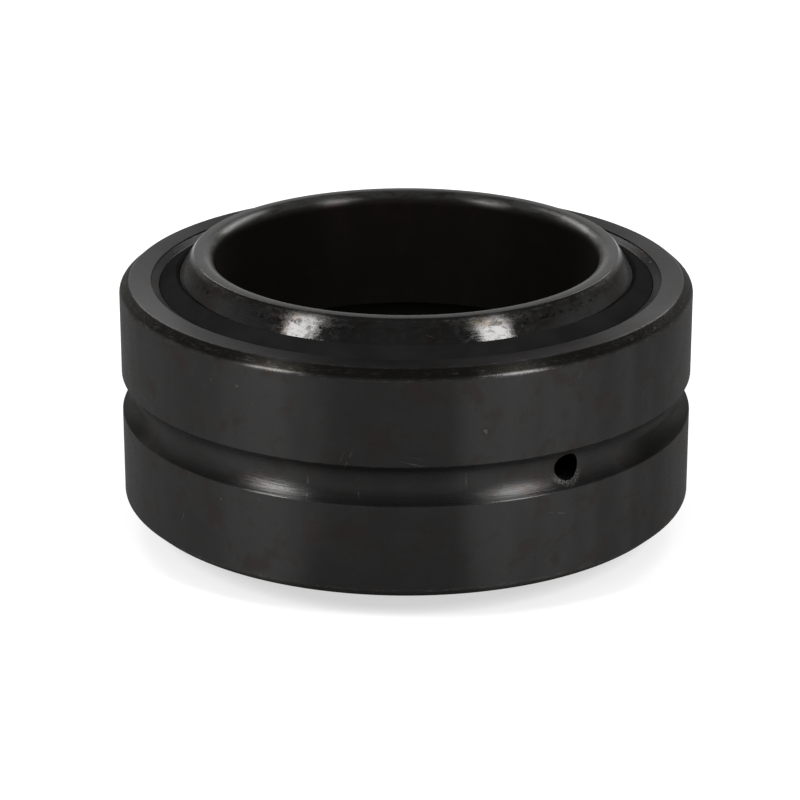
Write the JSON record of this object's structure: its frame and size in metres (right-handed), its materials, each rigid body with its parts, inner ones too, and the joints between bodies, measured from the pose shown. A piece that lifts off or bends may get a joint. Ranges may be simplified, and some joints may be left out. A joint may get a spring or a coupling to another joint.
{
  "type": "spherical plain bearing",
  "caption": "Black steel spherical plain bearing: a grooved outer ring with grease holes, a ball-shaped inner ring that turns and tilts in it, and lip seals at both ends.",
  "frame": {"origin": "centre of the ball, on the bore axis, halfway along both rings", "axes": "+Z along the bore axis; the picture looks along +Y, with the first grease hole right of the middle"},
  "size_m": [0.09, 0.09, 0.044],
  "materials": {
    "outer_steel": "black oxide on ground and turned steel, semi-gloss",
    "inner_steel": "black oxide on polished steel, glossy",
    "seal_rubber": "matt black"
  },
  "bodies": {
    "outer": {"outer_ring": "outer_steel"},
    "seals": {"upper_seal": "seal_rubber", "lower_seal": "seal_rubber"},
    "inner": {"inner_ring": "inner_steel"}
  },
  "joints": [
    {"name": "turn", "type": "hinge", "parent": "outer", "child": "seals", "pos_m": [0, 0, 0], "axis": [0, 0, 1], "continuous": true},
    {"name": "tilt", "type": "hinge", "parent": "seals", "child": "inner", "pos_m": [0, 0, 0], "axis": [1, 0, 0], "range_deg": [-6, 6]}
  ]
}
